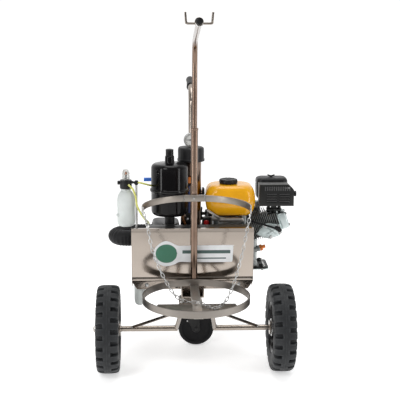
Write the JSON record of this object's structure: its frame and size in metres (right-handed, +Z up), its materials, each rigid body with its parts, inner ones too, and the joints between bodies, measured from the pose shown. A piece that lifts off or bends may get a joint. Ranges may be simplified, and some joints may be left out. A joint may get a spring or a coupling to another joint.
{
  "type": "line striping machine",
  "caption": "Walk-behind road line striping machine: petrol engine and belt-driven paint pump on a stainless deck with pail hoops, hose boom, two wheels and a caster.",
  "frame": {"origin": "on the ground, under the middle of the machine's box", "axes": "+X to the engine's cylinder head, +Y from the pail hoops towards the engine and push handle, +Z up"},
  "size_m": [0.677, 1.1454, 1.1265],
  "materials": {
    "stainless": "polished stainless sheet and tube, warm grey, fine scratches",
    "zinc": "bright zinc plate",
    "cast_alloy": "sand-cast aluminium, satin",
    "pump_casting": "black painted aluminium casting",
    "black_paint": "gloss black paint on steel",
    "black_plastic": "black moulded plastic",
    "shroud": "black shroud",
    "tyre_rubber": "charcoal black tyre rubber",
    "rubber": "black rubber",
    "yellow_tank": "amber yellow gloss paint",
    "milky": "milky translucent plastic",
    "blue": "blue plastic",
    "orange": "orange plastic",
    "red": "red plastic",
    "tube_yellow": "clear yellow tube"
  },
  "bodies": {
    "chassis": {"axle_left": "stainless", "axle_right": "stainless", "caster_mount": "stainless", "spine_channel": "stainless", "deck": "stainless", "front_panel": "stainless", "lower_ring": "stainless", "centre_bar": "stainless", "upper_ring": "stainless", "mast": "stainless", "handle_stem": "stainless", "filter_body": "stainless", "axle_nut_left": "zinc", "axle_nut_right": "zinc", "chain": "zinc", "bottle_rod": "zinc", "valve_cover": "zinc", "crankcase": "cast_alloy", "cylinder_head": "cast_alloy", "carburettor": "cast_alloy", "pump_body": "pump_casting", "muffler": "black_paint", "muffler_guard": "black_paint", "belt_guard": "black_paint", "canister": "black_paint", "handle_grip": "black_plastic", "air_cleaner": "black_plastic", "bottle_cap": "black_plastic", "fan_housing": "shroud", "drive_belt": "rubber", "suction_hose": "rubber", "fuel_tank": "yellow_tank", "bottle": "milky", "drain_bottle": "milky", "feed_tube": "tube_yellow"},
    "wheel_left": {"tyre_left": "tyre_rubber", "rim_left": "black_paint", "bearing_left": "zinc"},
    "wheel_right": {"tyre_right": "tyre_rubber", "rim_right": "black_paint", "bearing_right": "zinc"},
    "caster_swivel": {"caster_fork": "black_paint"},
    "caster_roller": {"caster_wheel": "rubber"},
    "boom": {"boom": "stainless", "boom_plug": "black_plastic", "hose_fork": "stainless"},
    "filter_lid": {"filter_cap": "black_plastic", "gauge": "zinc"},
    "needle": {"gauge_needle": "red"},
    "fuel_lid": {"fuel_cap": "black_plastic"},
    "oil_lid": {"oil_cap": "orange"},
    "cleaner_nut": {"wing_nut": "black_plastic"},
    "throttle": {"throttle_lever": "black_plastic"},
    "ignition": {"engine_switch": "red"},
    "recoil": {"recoil_grip": "black_plastic"},
    "engine_drive": {"engine_pulley": "cast_alloy"},
    "pump_drive": {"pump_pulley": "cast_alloy"},
    "relief_lever": {"relief_valve_handle": "blue"},
    "drain_lever": {"drain_valve_handle": "orange"},
    "pressure_control": {"pressure_knob": "black_plastic"}
  },
  "joints": [
    {"name": "wheel_left_spin", "type": "hinge", "parent": "chassis", "child": "wheel_left", "pos_m": [-0.2905, -0.04293, 0.14], "axis": [1, 0, 0], "continuous": true},
    {"name": "wheel_right_spin", "type": "hinge", "parent": "chassis", "child": "wheel_right", "pos_m": [0.2595, -0.04293, 0.14], "axis": [1, 0, 0], "continuous": true},
    {"name": "caster_swivel_turn", "type": "hinge", "parent": "chassis", "child": "caster_swivel", "pos_m": [-0.0225, 0.19007, 0.15], "axis": [0, 0, 1], "continuous": true},
    {"name": "caster_roll", "type": "hinge", "parent": "caster_swivel", "child": "caster_roller", "pos_m": [-0.0025, 0.19007, 0.061], "axis": [0, 1, 0], "continuous": true},
    {"name": "boom_turn", "type": "hinge", "parent": "chassis", "child": "boom", "pos_m": [-0.0165, 0.03507, 0.77], "axis": [0, 0, 1], "continuous": true},
    {"name": "filter_lid_unscrew", "type": "hinge", "parent": "chassis", "child": "filter_lid", "pos_m": [-0.0205, 0.22107, 0.65], "axis": [0, 0, 1], "range_deg": [0, 90]},
    {"name": "needle_sweep", "type": "hinge", "parent": "filter_lid", "child": "needle", "pos_m": [-0.0235, 0.20607, 0.711], "axis": [0, 1, 0], "range_deg": [0, 250]},
    {"name": "fuel_lid_turn", "type": "hinge", "parent": "chassis", "child": "fuel_lid", "pos_m": [0.1055, 0.20707, 0.58], "axis": [0, 0, 1], "range_deg": [0, 90]},
    {"name": "oil_lid_turn", "type": "hinge", "parent": "chassis", "child": "oil_lid", "pos_m": [0.2145, 0.19307, 0.3415], "axis": [0.9404, 0, 0.3401], "range_deg": [0, 180]},
    {"name": "cleaner_nut_turn", "type": "hinge", "parent": "chassis", "child": "cleaner_nut", "pos_m": [0.2595, 0.28307, 0.576], "axis": [0, 0, 1], "range_deg": [0, 180]},
    {"name": "throttle_turn", "type": "hinge", "parent": "chassis", "child": "throttle", "pos_m": [0.1685, 0.30907, 0.486], "axis": [0, 0, 1], "range_deg": [-35, 35]},
    {"name": "ignition_turn", "type": "hinge", "parent": "chassis", "child": "ignition", "pos_m": [0.0305, 0.16907, 0.436], "axis": [0, 1, 0], "range_deg": [0, 45]},
    {"name": "recoil_pull", "type": "slide", "parent": "chassis", "child": "recoil", "axis": [-1, 0, 0], "range_m": [0, 0.08], "stiffness_N_per_m": 60, "springref_m": -0.02},
    {"name": "engine_drive_spin", "type": "hinge", "parent": "chassis", "child": "engine_drive", "pos_m": [0.1105, 0.09507, 0.372], "axis": [0, 1, 0], "continuous": true},
    {"name": "pump_drive_spin", "type": "hinge", "parent": "chassis", "child": "pump_drive", "pos_m": [-0.0945, 0.09507, 0.366], "axis": [0, 1, 0], "continuous": true},
    {"name": "relief_lever_turn", "type": "hinge", "parent": "chassis", "child": "relief_lever", "pos_m": [-0.0815, 0.22507, 0.572], "axis": [0, 0, 1], "range_deg": [-90, 0]},
    {"name": "drain_lever_turn", "type": "hinge", "parent": "chassis", "child": "drain_lever", "pos_m": [-0.0265, 0.16707, 0.578], "axis": [0, 1, 0], "range_deg": [0, 90]},
    {"name": "pressure_control_turn", "type": "hinge", "parent": "chassis", "child": "pressure_control", "pos_m": [0.0215, 0.22107, 0.531], "axis": [1, 0, 0], "range_deg": [0, 270]}
  ],
  "couplings": [
    {"joint": "pump_drive_spin", "follows": "engine_drive_spin", "ratio": 0.69231}
  ]
}
